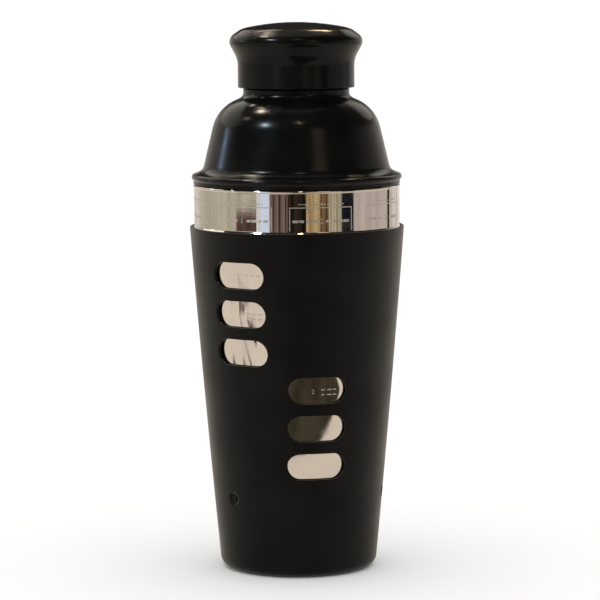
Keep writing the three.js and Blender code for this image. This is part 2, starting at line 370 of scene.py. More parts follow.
# The sleeve's wall is a grid of columns and rows, which its openings interrupt in whole blocks
WINDOW_BLOCK = 45.0
WINDOW_ROWS = 9
FIRST_COLUMN_AZIMUTH = -WINDOW_BLOCK
COLUMN_STEP = 360 / SEGMENTS
ROW_STEP = WINDOW_PITCH / WINDOW_ROWS
WINDOW_COLUMNS = round(WINDOW_BLOCK / COLUMN_STEP)
ROWS_UNDER_WINDOWS = 18
ROWS_OVER_WINDOWS = 5
WINDOW_COUNT = len(WINDOW_HEIGHTS)
WALL_ROWS = ROWS_UNDER_WINDOWS + WINDOW_COUNT * WINDOW_ROWS + ROWS_OVER_WINDOWS
LOWEST_BLOCK_HEIGHT = WINDOW_HEIGHTS[0] - (WINDOW_COUNT - 1) * WINDOW_PITCH
WALL_BOTTOM = LOWEST_BLOCK_HEIGHT - WINDOW_PITCH / 2 - ROWS_UNDER_WINDOWS * ROW_STEP
PIN_BLOCK_COLUMNS = 10
PIN_BLOCK_ROWS = 6
STRAND_SHARES = (0.35, 0.7)


def column_azimuth(column):
    return FIRST_COLUMN_AZIMUTH + column * COLUMN_STEP


def row_height(row):
    return WALL_BOTTOM + row * ROW_STEP


def wall_point(column, row, depth):
    """A point of the wall's grid, some way in from the outside."""
    height = row_height(row)
    return around(sleeve_radius(height) - depth, column_azimuth(column), height)


def opening(azimuth, height, end_offset, radius, section, first_column, first_row, columns, rows):
    """The polygons between a block's edge and an opening through the wall. The opening's outline is a
    circle, or a pill whose end circles lie end_offset to each side. Its section runs in from the
    outside, as (distance outside the outline, depth)."""
    edge = [(first_column + k, first_row) for k in range(columns)]
    edge += [(first_column + columns, first_row + k) for k in range(rows)]
    edge += [(first_column + columns - k, first_row + rows) for k in range(columns)]
    edge += [(first_column, first_row + rows - k) for k in range(rows)]

    def place(across, up, depth):
        reach = sleeve_radius(up) - depth
        return around(reach, azimuth + math.degrees(math.asin(across / reach)), up)

    def edge_place(column, row, depth):
        up = row_height(row)
        reach = sleeve_radius(up) - depth
        return reach * math.sin(math.radians(column_azimuth(column) - azimuth)), up

    def between(first, second, share, depth):
        across = first[0] + (second[0] - first[0]) * share
        up = first[1] + (second[1] - first[1]) * share
        return place(across, up, depth)

    strands = []
    for column, row in edge:
        outside = edge_place(column, row, 0)
        inside = edge_place(column, row, SLEEVE_WALL)
        spine = max(-end_offset, min(end_offset, outside[0]))
        way = Vector((outside[0] - spine, outside[1] - height)).normalized()
        rim = []
        for out, depth in section:
            reach = radius + out
            rim.append((spine + way.x * reach, height + way.y * reach, depth))
        strand = [wall_point(column, row, 0)]
        strand += [between(outside, rim[0], share, 0) for share in STRAND_SHARES]
        strand += [place(*point) for point in rim]
        strand += [between(inside, rim[-1], share, SLEEVE_WALL) for share in reversed(STRAND_SHARES)]
        strand.append(wall_point(column, row, SLEEVE_WALL))
        strands.append(strand)
    polygons = []
    for strand, beside in zip(strands, strands[1:] + strands[:1]):
        for k in range(len(strand) - 1):
            polygons.append((strand[k], beside[k], beside[k + 1], strand[k + 1]))
    return polygons


def window_section():
    """A window's edge: rounded outside, straight through the wall, and eased inside."""
    outer_round = 0.55
    inner_round = 0.25
    return rounded([
        (outer_round + SUPPORT, 0, 0),
        (0, 0, outer_round),
        (0, SLEEVE_WALL, inner_round),
        (inner_round + SUPPORT, SLEEVE_WALL, 0),
    ])


def pin_seat_section():
    """A pin's dished seat and the bore behind it, outward of the bore's outline."""
    dish = PIN_SEAT_RADIUS - PIN_RADIUS - FIT_GAP
    mouth_round = 0.35
    bore_round = 0.2
    return rounded([
        (dish + 2 * SUPPORT, 0, 0),
        (dish, 0, mouth_round),
        (0, PIN_SEAT_DEPTH, bore_round),
        (0, SLEEVE_WALL, bore_round),
        (2 * SUPPORT, SLEEVE_WALL, 0),
    ])


def pin_place(node):
    """Azimuth and height of a retaining pin."""
    low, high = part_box(node)
    centre = (low + high) / 2
    return math.degrees(math.atan2(centre.x, -centre.y)), centre.z / MM


def sleeve_foot():
    """From the wall's outside, round the corner, under the foot, past the foot ring's recess and the
    floor hole, and up to the wall's inside."""
    lean = 5.7
    inside_taper = 0.1
    recess_round = 0.2
    mouth_round = 0.3
    hole_round = 0.5
    inside_round = 4.0
    corner_height = sleeve_bottom + SLEEVE_CORNER
    tangent_height = corner_height - SLEEVE_CORNER * math.sin(math.radians(lean))
    corner_radius = sleeve_radius(tangent_height) - SLEEVE_CORNER * math.cos(math.radians(lean))
    recess_top = foot_top + FIT_GAP
    floor_top = recess_top + SLEEVE_FLOOR
    bore = sleeve_radius(WALL_BOTTOM) - SLEEVE_WALL
    return rounded([
        (sleeve_radius(WALL_BOTTOM), WALL_BOTTOM, 0),
        (sleeve_radius(corner_height + 1), corner_height + 1, 0),
        *arc(corner_radius, corner_height, SLEEVE_CORNER, -lean, -90, 9),
        (foot_outer + FIT_GAP, sleeve_bottom, mouth_round),
        (foot_outer + FIT_GAP, recess_top, recess_round),
        (FOOT_RING_INNER - FIT_GAP, recess_top, recess_round),
        (FOOT_RING_INNER - FIT_GAP, sleeve_bottom, mouth_round),
        (SLEEVE_FLOOR_HOLE, sleeve_bottom, hole_round),
        (SLEEVE_FLOOR_HOLE, floor_top, hole_round),
        (bore - inside_taper * (WALL_BOTTOM - floor_top), floor_top, inside_round),
        (bore, WALL_BOTTOM, 0),
    ])


def sleeve_rim():
    """From the wall's outside over the rounded rim to its inside."""
    top = row_height(WALL_ROWS)
    edge_round = 0.7
    return rounded([
        (sleeve_radius(top), top, 0),
        (sleeve_radius(rim_height), rim_height, edge_round),
        (sleeve_radius(rim_height) - SLEEVE_WALL, rim_height, edge_round),
        (sleeve_radius(top) - SLEEVE_WALL, top, 0),
    ])


def sleeve():
    """The tapered sleeve with its windows and the seats of its pins."""
    polygons = turned(sleeve_foot(), closed=False) + turned(sleeve_rim(), closed=False)
    taken = set()

    def cut(azimuth, height, end_offset, radius, section, *block):
        first_column, first_row, columns, rows = block
        polygons.extend(opening(azimuth, height, end_offset, radius, section, *block))
        for column in range(columns):
            for row in range(rows):
                taken.add(((first_column + column) % SEGMENTS, first_row + row))

    end_radius = WINDOW_HEIGHT / 2
    for count, height in enumerate(WINDOW_HEIGHTS):
        side = count // (WINDOW_COUNT // 2)
        first_row = ROWS_UNDER_WINDOWS + (WINDOW_COUNT - 1 - count) * WINDOW_ROWS
        cut((2 * side - 1) * WINDOW_AZIMUTH, height, WINDOW_WIDTH / 2 - end_radius, end_radius,
            window_section(), side * WINDOW_COLUMNS, first_row, WINDOW_COLUMNS, WINDOW_ROWS)
    for node in PINS:
        azimuth, height = pin_place(node)
        first_column = round((azimuth - FIRST_COLUMN_AZIMUTH) / COLUMN_STEP) - PIN_BLOCK_COLUMNS // 2
        first_row = round((height - WALL_BOTTOM) / ROW_STEP) - PIN_BLOCK_ROWS // 2
        cut(azimuth, height, 0, PIN_RADIUS + FIT_GAP, pin_seat_section(), first_column, first_row,
            PIN_BLOCK_COLUMNS, PIN_BLOCK_ROWS)
    for column in range(SEGMENTS):
        for row in range(WALL_ROWS):
            if (column, row) in taken:
                continue
            for depth in (0, SLEEVE_WALL):
                polygons.append((
                    wall_point(column, row, depth),
                    wall_point(column + 1, row, depth),
                    wall_point(column + 1, row + 1, depth),
                    wall_point(column, row + 1, depth),
                ))
    return polygons


def retaining_pin(node):
    """A round pin with a rounded tip, and a dimple in its domed outer end."""
    azimuth, height = pin_place(node)
    tip = -SLEEVE_WALL - TURNING_GAP - PIN_TIP_DEPTH
    outline = rounded([
        (0, tip, 0),
        (PIN_RADIUS, tip, 0.4),
        (PIN_RADIUS, -PIN_SUNK - PIN_CROWN, 0.5),
        (PIN_DIMPLE_MOUTH, -PIN_SUNK, 0.25),
        (PIN_DIMPLE_RADIUS, -PIN_SUNK - PIN_DIMPLE_DEPTH, 0.15),
        (0, -PIN_SUNK - PIN_DIMPLE_DEPTH, 0),
    ])
    return outward(turned(outline, segments=PIN_SEGMENTS), azimuth, sleeve_radius(height), height)


def foot_ring():
    """The ring that the shaker stands on, with a shallow grip groove underneath."""
    middle = (FOOT_RING_INNER + foot_outer) / 2
    mouth, bed, depth = 0.8, 0.5, 0.4
    bottom_round, groove_round, top_round = 0.5, 0.15, 0.2
    return turned(rounded([
        (FOOT_RING_INNER, foot_bottom, bottom_round),
        (middle - mouth, foot_bottom, groove_round),
        (middle - bed, foot_bottom + depth, groove_round),
        (middle + bed, foot_bottom + depth, groove_round),
        (middle + mouth, foot_bottom, groove_round),
        (foot_outer, foot_bottom, bottom_round),
        (foot_outer, foot_top, top_round),
        (FOOT_RING_INNER, foot_top, top_round),
    ]), segments=SMALL_SEGMENTS)


# ---- Cup ----

def cup_outline():
    """Up the outside, over the rolled rim and down the inside, from axis to axis."""
    pin_height = pin_place(PINS[0])[1]
    corner_height = cup_bottom + CUP_CORNER
    foot = covered_cup_radius(cup_bottom)
    shoulder = rim_height + BAND_SHOULDER_RISE
    inside_band = BAND_RADIUS - CUP_WALL
    roll_bottom = cup_top - RIM_ROLL
    clear = 3
    mouth_round = 0.8
    bed_round = 0.6
    bottom_round = 2.0
    push_up_round = 1.5
    shoulder_round = 0.5

    def wall(inset, first, last, steps):
        return follow(lambda height: covered_cup_radius(height) - inset, first, last, steps)

    def groove(inset):
        bed = covered_cup_radius(pin_height) - inset - GROOVE_DEPTH
        low, high = pin_height - GROOVE_MOUTH, pin_height + GROOVE_MOUTH
        return [
            (covered_cup_radius(low) - inset, low, mouth_round),
            (bed, pin_height - GROOVE_BED, bed_round),
            (bed, pin_height + GROOVE_BED, bed_round),
            (covered_cup_radius(high) - inset, high, mouth_round),
        ]

    def side(inset):
        reach = GROOVE_MOUTH + clear
        below = wall(inset, corner_height + clear, pin_height - reach, 3)
        above = wall(inset, pin_height + reach, rim_height - clear, 24)
        return below + groove(inset) + above

    return rounded([
        (0, cup_bottom + CUP_PUSH_UP, 0),
        (CUP_PUSH_UP_RADIUS, cup_bottom + CUP_PUSH_UP, bottom_round),
        (CUP_PUSH_UP_FOOT, cup_bottom, push_up_round),
        (foot, cup_bottom, CUP_CORNER),
        *side(0),
        (covered_cup_radius(rim_height), rim_height - 0.2, shoulder_round),
        (BAND_RADIUS, shoulder, shoulder_round),
        (BAND_RADIUS, roll_bottom, 0.25),
        (cup_rim_radius, roll_bottom + 0.3, 0.3),
        (cup_rim_radius, cup_top, 0.45),
        (inside_band, cup_top, 0.4),
        (inside_band, shoulder, 0.6),
        *reversed(side(CUP_WALL)),
        (foot - CUP_WALL, cup_bottom + CUP_WALL, CUP_CORNER - CUP_WALL),
        (CUP_PUSH_UP_FOOT, cup_bottom + CUP_WALL, push_up_round),
        (CUP_PUSH_UP_RADIUS, cup_bottom + CUP_PUSH_UP + CUP_WALL, bottom_round),
        (0, cup_bottom + CUP_PUSH_UP + CUP_WALL, 0),
    ])


def line_cup(cup, material):
    """Gives the inside of the cup a material of its own. Its floor faces up, and its wall the axis."""
    facing_up = 0.2
    facing_axis = -0.01
    cup.data.materials.append(material)
    for face in cup.data.polygons:
        outward_part = face.center.x * face.normal.x + face.center.y * face.normal.y
        on_floor = face.center.z < (cup_bottom + CUP_CORNER) * MM
        inside = face.normal.z > facing_up if on_floor else outward_part < facing_axis
        face.material_index = 1 if inside else 0


def marked_radius(height):
    """Radius of the cup's outside where it carries marks."""
    return BAND_RADIUS if height > rim_height else covered_cup_radius(height)


def bar(first_azimuth, last_azimuth, bottom, top):
    """An etched bar on the cup, as a thin curved plate."""
    steps = max(1, round(abs(last_azimuth - first_azimuth) / BAR_STEP))
    sections = []
    for step in range(steps + 1):
        azimuth = first_azimuth + (last_azimuth - first_azimuth) * step / steps
        sections.append([
            around(marked_radius(bottom) - MARK_SUNK, azimuth, bottom),
            around(marked_radius(bottom) + MARK_PROUD, azimuth, bottom),
            around(marked_radius(top) + MARK_PROUD, azimuth, top),
            around(marked_radius(top) - MARK_SUNK, azimuth, top),
        ])
    polygons = [tuple(sections[0]), tuple(sections[-1])]
    for here, beside in zip(sections, sections[1:]):
        for k in range(4):
            following = (k + 1) % 4
            polygons.append((here[k], beside[k], beside[following], here[following]))
    return polygons


def flat_bar(centre_azimuth, offset, length, height, thickness):
    """An etched bar given by its offset from a panel's middle and its length, in millimetres."""
    degrees_per_mm = math.degrees(1 / marked_radius(height))
    first = centre_azimuth + offset * degrees_per_mm
    return bar(first, first + length * degrees_per_mm, height - thickness / 2, height + thickness / 2)


def numeral(text, azimuth, offset, height, size):
    """An etched number, centred at an offset from a panel's middle."""
    curve = bpy.data.curves.new("numeral", "FONT")
    curve.body = text
    curve.size = size
    curve.align_x = "CENTER"
    curve.align_y = "CENTER"
    curve.extrude = (MARK_PROUD + MARK_SUNK) / 2
    middle = (MARK_PROUD - MARK_SUNK) / 2
    polygons = []
    for polygon in polygons_of(curve):
        corners = []
        for across, up, out in polygon:
            reach = marked_radius(height + up) + middle + out
            corners.append(around(reach, azimuth + math.degrees((offset + across) / reach), height + up))
        polygons.append(corners)
    return polygons


def panel_frame(azimuth):
    """The line frame of one panel, with a scale of ticks over it. The frame's sides run down behind the
    sleeve."""
    bottom = rim_height - 4
    band_bottom = rim_height + BAND_SHOULDER_RISE + 0.6
    covered_top = rim_height - 0.1 * PANEL_LINE
    side = PANEL_WIDTH / 2
    side_width = math.degrees(PANEL_LINE / BAND_RADIUS)
    polygons = bar(azimuth - side, azimuth + side, PANEL_TOP - PANEL_LINE, PANEL_TOP)
    for edge in (azimuth - side, azimuth + side - side_width):
        polygons += bar(edge, edge + side_width, bottom, covered_top)
        polygons += bar(edge, edge + side_width, band_bottom, PANEL_TOP - PANEL_LINE)
    for tick in range(TICKS):
        offset = (tick - (TICKS - 1) / 2) * TICK_PITCH - TICK_LENGTH / 2
        thickness = 0.9 if tick % 5 == 2 else 0.5
        polygons += flat_bar(azimuth, offset, TICK_LENGTH, PANEL_TOP + TICK_RISE, thickness)
    return polygons


def panel_title(azimuth, number):
    """The panel's number between two rows of dashes."""
    height = PANEL_TOP - 6.6
    number_size = 3.6
    dash_thickness = 1.2
    polygons = numeral(str(number), azimuth, 0, height, number_size)
    for side in (-1, 1):
        for step in range(4):
            length = 1.5 + 0.7 * ((number + step) % 3)
            middle = side * (number_size + DASH_PITCH * step)
            polygons += flat_bar(azimuth, middle - length / 2, length, height, dash_thickness)
    return polygons


def recipe_rows(azimuth, number):
    """Marks that show through the windows: a short amount and one or two lines beside it."""
    number_size = 3.0
    number_offset = -3.2
    first_dash = 0.8
    line_pitch = 2.4
    dash_thickness = 0.55
    polygons = []
    for row, height in enumerate(WINDOW_HEIGHTS):
        lines = (number + row) % 3
        if row >= WINDOW_COUNT - 2 or lines == 0:
            continue
        for line in range(lines):
            up = height + 0.4 - line_pitch * line
            for dash in range(3):
                length = 1.6 + 0.6 * ((number + dash) % 2)
                polygons += flat_bar(azimuth, first_dash + DASH_PITCH * dash, length, up, dash_thickness)
        amount = str(1 + (number + row) % 4)
        polygons += numeral(amount, azimuth, number_offset, height - 0.6, number_size)
    return polygons


def cup_marks():
    """All that is etched on the cup: numbered panels and their recipe marks."""
    polygons = []
    for panel in range(PANELS):
        azimuth = FIRST_PANEL_AZIMUTH + panel * PANEL_PITCH
        number = panel + 1
        polygons += panel_frame(azimuth) + panel_title(azimuth, number) + recipe_rows(azimuth, number)
    return polygons


# ---- Domed top ----

def seal_groove(wall, bottom, top, bed):
    """The groove of a seal, cut into a wall that runs up the outline."""
    edge_round = 0.15
    return [
        (wall, bottom - FIT_GAP, edge_round),
        (bed, bottom - FIT_GAP, edge_round),
        (bed, top + FIT_GAP, edge_round),
        (wall, top + FIT_GAP, edge_round),
    ]


def dome():
    """Plug, skirt, bead, tapering wall, round shoulder, waisted neck and pouring mouth. Then down the
    inside: strainer seat and the hollow of the dome."""
    skirt_bottom = cup_top + FIT_GAP
    plug_inside = PLUG_RADIUS - PLUG_WALL
    waist = WAIST_FILLET[0]
    waist_top = cap_bottom - 0.4
    bead_foot = BEAD_HEIGHT - 1.7
    hollow_foot = BEAD_HEIGHT + 2
    boss_bottom = STRAINER_LEDGE - STRAINER_SEAT_DEPTH
    return turned(rounded([
        (plug_inside, plug_bottom, 0.5),
        (PLUG_RADIUS, plug_bottom, 0.8),
        *seal_groove(PLUG_RADIUS, top_seal_bottom, top_seal_top, PLUG_RADIUS - TOP_SEAL_DEPTH),
        (PLUG_RADIUS, skirt_bottom, 0.3),
        (SKIRT_RADIUS, skirt_bottom, 0.35),
        (SKIRT_RADIUS, bead_foot, 0.5),
        *arc(bead_radius - BEAD_ROUND, BEAD_HEIGHT, BEAD_ROUND, BEAD_START, BEAD_END, 12),
        BEAD_FILLET,
        *arc(*SHOULDER, SHOULDER_ROUND, SHOULDER_START, SHOULDER_END, 16),
        WAIST_FILLET,
        (waist, waist_top, 0.5),
        (NECK_RADIUS, waist_top, 0.25),
        *seal_groove(NECK_RADIUS, cap_seal_bottom, cap_seal_top, NECK_RADIUS - CAP_SEAL_DEPTH),
        (NECK_RADIUS, neck_top, 0.9),
        (NECK_BORE, neck_top, 0.6),
        (NECK_BORE, STRAINER_LEDGE, 0.2),
        (STRAINER_SEAT_RADIUS, STRAINER_LEDGE, 0.2),
        (STRAINER_SEAT_RADIUS, boss_bottom, 0.4),
        (STRAINER_SEAT_RADIUS + DOME_WALL, boss_bottom, 0.6),
        *arc(*SHOULDER, SHOULDER_ROUND - DOME_WALL, INNER_SHOULDER_END, SHOULDER_START, 10),
        (plug_inside - DOME_WALL, hollow_foot, 2.0),
        (plug_inside, skirt_bottom, 1.0),
    ]))


def ribbed_seal(inner, outer, bottom, top):
    """A seal with two round ribs on its outer face."""
    rib = (top - bottom) / 4
    centre = outer - rib
    start, end = 80, 60
    return turned(rounded([
        (inner, bottom, 0.2),
        *arc(centre, bottom + rib, rib, -start, end, 8),
        *arc(centre, top - rib, rib, -end, start, 8),
        (inner, top, 0.2),
    ]), segments=SMALL_SEGMENTS)


def strainer():
    """The perforated disc, filled between its edge and the rims of its holes."""
    curve = bpy.data.curves.new("strainer", "CURVE")
    curve.dimensions = "2D"
    curve.fill_mode = "BOTH"
    curve.extrude = (disc_top - disc_bottom) / 2

    def circle(across, up, radius, points, way):
        spline = curve.splines.new("POLY")
        spline.points.add(points - 1)
        spline.use_cyclic_u = True
        for index, point in enumerate(spline.points):
            angle = way * 2 * math.pi * index / points
            point.co = (across + radius * math.cos(angle), up + radius * math.sin(angle), 0, 1)

    circle(0, 0, disc_radius, DISC_POINTS, 1)
    for row in range(STRAINER_HOLE_RINGS + 1):
        holes = max(1, row * HOLES_PER_RING)
        reach = row * STRAINER_HOLE_PITCH
        for hole in range(holes):
            angle = 2 * math.pi * hole / holes
            across, up = reach * math.cos(angle), reach * math.sin(angle)
            circle(across, up, STRAINER_HOLE_RADIUS, HOLE_POINTS, -1)
    lift = Vector((0, 0, (disc_bottom + disc_top) / 2))
    return [[point + lift for point in polygon] for polygon in polygons_of(curve)]


# ---- Cap ----

def cap_shell():
    """Straight skirt, concave flare, round lip and a shallow crown over a straight bore."""
    edge_radius = CAP_CROWN_EDGE[0]
    crown_round = (edge_radius ** 2 + CAP_CROWN_RISE ** 2) / (2 * CAP_CROWN_RISE)
    crown = []
    for share in (0.9, 0.75, 0.56, 0.37, 0.18, 0):
        across = edge_radius * share
        crown.append((across, cap_top - crown_round + math.sqrt(crown_round ** 2 - across ** 2), 0))
    return turned(rounded([
        (0, liner_top + FIT_GAP, 0),
        (CAP_BORE, liner_top + FIT_GAP, 0.8),
        (CAP_BORE, cap_bottom, 0.3),
        (CAP_SKIRT_RADIUS, cap_bottom, 0.55),
        CAP_FLARE,
        CAP_LIP,
        CAP_CROWN_EDGE,
        *crown,
    ]))


def measure_liner():
    """The measure inside the cap, with two fill lines as shallow steps in its wall."""
    inner = liner_outer - LINER_WALL
    depth, mouth, bed, edge_round = 0.25, 0.4, 0.2, 0.1
    lines = []
    for share in (0.35, 0.68):
        height = liner_top - share * (liner_top - liner_bottom)
        lines += [
            (inner, height + mouth, edge_round),
            (inner + depth, height + bed, edge_round),
            (inner + depth, height - bed, edge_round),
            (inner, height - mouth, edge_round),
        ]
    return turned(rounded([
        (0, liner_top - LINER_WALL, 0),
        (inner, liner_top - LINER_WALL, 2.5),
        *lines,
        (inner, liner_bottom, 0.4),
        (liner_outer, liner_bottom, 0.4),
        (liner_outer, liner_top, 1.0),
        (0, liner_top, 0),
    ]), segments=SMALL_SEGMENTS)


# ---- Materials ----

def set_inputs(node, **values):
    """Sets inputs of a shader node. An underscore in a name stands for a space."""
    for name, value in values.items():
        node.inputs[name.replace("_", " ")].default_value = value


def add_node(tree, kind, **values):
    """A new shader node, with some of its inputs set."""
    node = tree.nodes.new("ShaderNode" + kind)
    set_inputs(node, **values)
    return node


def surface_noise(tree, scale, detail, stretch):
    """A noise over the surface, whose scale is in repeats a metre."""
    places = add_node(tree, "TexCoord")
    mapping = add_node(tree, "Mapping", Scale=stretch)
    texture = add_node(tree, "TexNoise", Scale=scale, Detail=detail)
    tree.links.new(places.outputs["Object"], mapping.inputs["Vector"])
    tree.links.new(mapping.outputs["Vector"], texture.inputs["Vector"])
    return texture.outputs["Fac"]


def map_range(tree, source, **values):
    """A value that runs from To Min to To Max as the source runs from From Min to From Max."""
    spread = add_node(tree, "MapRange", **values)
    tree.links.new(source, spread.inputs["Value"])
    return spread.outputs["Result"]


def colour_ramp(tree, source, first, second, start, end):
    """A colour that runs from the first to the second as the source runs from start to end."""
    ramp = add_node(tree, "ValToRGB")
    for element, position, colour in zip(ramp.color_ramp.elements, (start, end), (first, second)):
        element.position = position
        element.color = (*colour, 1)
    tree.links.new(source, ramp.inputs["Fac"])
    return ramp.outputs["Color"]


def mix_colours(tree, first, second, factor):
    """The first colour where the factor is none, and the second where it is full. The second can be
    another node's output."""
    mix = add_node(tree, "Mix")
    mix.data_type = "RGBA"
    mix.inputs["A"].default_value = (*first, 1)
    if isinstance(second, tuple):
        mix.inputs["B"].default_value = (*second, 1)
    else:
        tree.links.new(second, mix.inputs["B"])
    tree.links.new(factor, mix.inputs["Factor"])
    return mix.outputs["Result"]


def glossy_rays(tree):
    """Full for what is seen in a reflection, and none for the rest."""
    return add_node(tree, "LightPath").outputs["Is Glossy Ray"]


# Most values of a noise lie between these
NOISE_LOW = 0.35
NOISE_HIGH = 0.65


class Look:
    """A procedural material: one Principled shader, and textures that vary its inputs."""

    def __init__(self, name, colour, roughness, metallic=0.0, **values):
        self.material = bpy.data.materials.new(name)
        self.material.use_nodes = True
        self.tree = self.material.node_tree
        self.shader = self.tree.nodes["Principled BSDF"]
        set_inputs(self.shader, Base_Color=(*colour, 1), Roughness=roughness, Metallic=metallic, **values)

    def noise(self, scale, detail, stretch=(1, 1, 1)):
        return surface_noise(self.tree, scale, detail, stretch)

    def vary_roughness(self, source, low, high):
        """Roughness runs from low to high with a noise."""
        spread = map_range(self.tree, source, From_Min=NOISE_LOW, From_Max=NOISE_HIGH,
                           To_Min=low, To_Max=high)
        self.tree.links.new(spread, self.shader.inputs["Roughness"])

    def vary_colour(self, source, first, second):
        """Colour runs from the first to the second with a noise."""
        ramp = colour_ramp(self.tree, source, first, second, NOISE_LOW, NOISE_HIGH)
        self.tree.links.new(ramp, self.shader.inputs["Base Color"])

    def bump(self, source, height, strength):
        """Relief of a height in metres, on top of any relief that is already there."""
        relief = add_node(self.tree, "Bump", Distance=height, Strength=strength)
        self.tree.links.new(source, relief.inputs["Height"])
        normal = self.shader.inputs["Normal"]
        if normal.links:
            self.tree.links.new(normal.links[0].from_socket, relief.inputs["Normal"])
        self.tree.links.new(relief.outputs["Normal"], normal)


def shade(colour, factor):
    return tuple(channel * factor for channel in colour)


def satin_plastic():
    """Moulded black plastic with a fine satin grain, rubbed a little smoother in patches."""
    colour = COLOUR_OF["satin_plastic"]
    look = Look("satin_black_plastic", colour, 0.42, Specular_IOR_Level=0.1, Sheen_Weight=0.22,
                Sheen_Roughness=0.35, Sheen_Tint=(1, 0.93, 0.84, 1))
    look.vary_colour(look.noise(45, 4), shade(colour, 0.45), shade(colour, 0.95))
    look.vary_roughness(look.noise(28, 5), 0.36, 0.5)
    look.bump(look.noise(2600, 2), 0.00003, 0.5)
    look.bump(look.noise(30, 1), 0.0006, 0.05)
    return look.material


def gloss_plastic():
    """Gloss black plastic with a trace of moulding ripple, and faint rubbing."""
    colour = COLOUR_OF["gloss_plastic"]
    look = Look("gloss_black_plastic", colour, 0.2, Specular_IOR_Level=0.13)
    look.vary_colour(look.noise(60, 3), shade(colour, 0.7), shade(colour, 1.3))
    look.vary_roughness(look.noise(55, 6), 0.15, 0.26)
    look.bump(look.noise(420, 2), 0.00002, 0.35)
    look.bump(look.noise(2400, 2), 0.00001, 0.3)
    return look.material


def mirror_steel():
    """Polished deep-drawn steel: slight waviness, fine turned lines, and smudges."""
    colour = COLOUR_OF["mirror_steel"]
    look = Look("mirror_steel", colour, 0.05, metallic=1.0)
    look.vary_colour(look.noise(70, 4), shade(colour, 0.96), shade(colour, 1.04))
    look.vary_roughness(look.noise(90, 6), 0.02, 0.085)
    look.bump(look.noise(38, 1, stretch=(1, 1, 0.6)), 0.0009, 0.05)
    look.bump(look.noise(30, 3, stretch=(1, 1, 90)), 0.00002, 0.08)
    return look.material


def dull_steel():
    """The duller steel inside the cup, with fine turned lines."""
    colour = COLOUR_OF["mirror_steel"]
    look = Look("dull_steel", colour, 0.2, metallic=0.9)
    look.vary_colour(look.noise(60, 4), shade(colour, 0.92), shade(colour, 1.04))
    look.vary_roughness(look.noise(90, 6), 0.13, 0.26)
    look.bump(look.noise(30, 3, stretch=(1, 1, 90)), 0.00003, 0.2)
    return look.material


def etched_steel():
    """The frosted grey of etched marks."""
    look = Look("etched_steel", (0.5, 0.47, 0.44), 0.5, metallic=0.9)
    look.vary_colour(look.noise(900, 3), (0.4, 0.38, 0.35), (0.58, 0.55, 0.51))
    look.vary_roughness(look.noise(500, 3), 0.4, 0.6)
    look.bump(look.noise(6000, 2), 0.00002, 0.6)
    return look.material


def silicone():
    """Matt silicone with a dusty bloom."""
    colour = COLOUR_OF["seal_rubber"]
    look = Look("silicone", colour, 0.62, Sheen_Weight=0.15, Sheen_Roughness=0.6)
    look.vary_colour(look.noise(150, 4), shade(colour, 0.8), shade(colour, 1.5))
    look.vary_roughness(look.noise(220, 4), 0.52, 0.72)
    look.bump(look.noise(3500, 2), 0.00003, 0.5)
    return look.material


def natural_nylon():
    """Off-white nylon, faintly translucent."""
    colour = COLOUR_OF["glide_plastic"]
    look = Look("natural_nylon", colour, 0.45, Subsurface_Weight=0.2,
                Subsurface_Radius=(0.002, 0.0015, 0.001))
    look.vary_colour(look.noise(80, 4), shade(colour, 0.88), shade(colour, 1.0))
    look.vary_roughness(look.noise(160, 4), 0.36, 0.55)
    look.bump(look.noise(1800, 3), 0.00003, 0.4)
    return look.material


# ---- The object ----

def build_object():
    satin, gloss, steel = satin_plastic(), gloss_plastic(), mirror_steel()
    rubber, nylon = silicone(), natural_nylon()
    stand_in_for("outer_sleeve", sleeve(), satin)
    for node in PINS:
        stand_in_for(node, retaining_pin(node), satin)
    stand_in_for("foot_ring", foot_ring(), rubber)
    washer = plain_ring(WASHER_INNER, washer_outer, washer_bottom, washer_top, 0.25)
    stand_in_for("glide_washer", washer, nylon)
    line_cup(stand_in_for("shaker_cup", turned(cup_outline()), steel), dull_steel())
    make_piece("cup_marks", BODY_OF["shaker_cup"], cup_marks(), etched_steel())
    stand_in_for("top_dome", dome(), gloss)
    inner = PLUG_RADIUS - TOP_SEAL_DEPTH + FIT_GAP
    top_seal = ribbed_seal(inner, top_seal_outer, top_seal_bottom, top_seal_top)
    stand_in_for("top_seal", top_seal, rubber)
    stand_in_for("strainer_disc", strainer(), steel)
    inner = retainer_outer - RETAINER_WIDTH
    retainer = plain_ring(inner, retainer_outer, retainer_bottom, retainer_top, 0.3)
    stand_in_for("strainer_retainer", retainer, gloss)
    inner = NECK_RADIUS - CAP_SEAL_DEPTH + FIT_GAP
    cap_seal = ribbed_seal(inner, cap_seal_outer, cap_seal_bottom, cap_seal_top)
    stand_in_for("cap_seal", cap_seal, rubber)
    stand_in_for("cap_shell", cap_shell(), gloss)
    stand_in_for("measure_liner", measure_liner(), gloss)


# ---- Stage, lights and camera ----

AIM_HEIGHT = 0.17


def toward(azimuth, elevation, distance, height=AIM_HEIGHT):
    """A point in a direction from a height on the shaker's axis. The azimuth counts from the camera."""
    angle, rise = math.radians(azimuth + CAMERA_AZIMUTH), math.radians(elevation)
    level = distance * math.cos(rise)
    return Vector((level * math.sin(angle), -level * math.cos(angle), height + distance * math.sin(rise)))


def stage_mesh(name, corners, material):
    """A flat quad of the stage."""
    mesh = bpy.data.meshes.new(name)
    mesh.from_pydata([tuple(corner) for corner in corners], [], [(0, 1, 2, 3)])
    mesh.materials.append(material)
    quad = add_object(name, mesh)
    return quad


def seen_only_in_reflections(thing):
    thing.visible_camera = False
    thing.visible_diffuse = False
    thing.visible_shadow = False


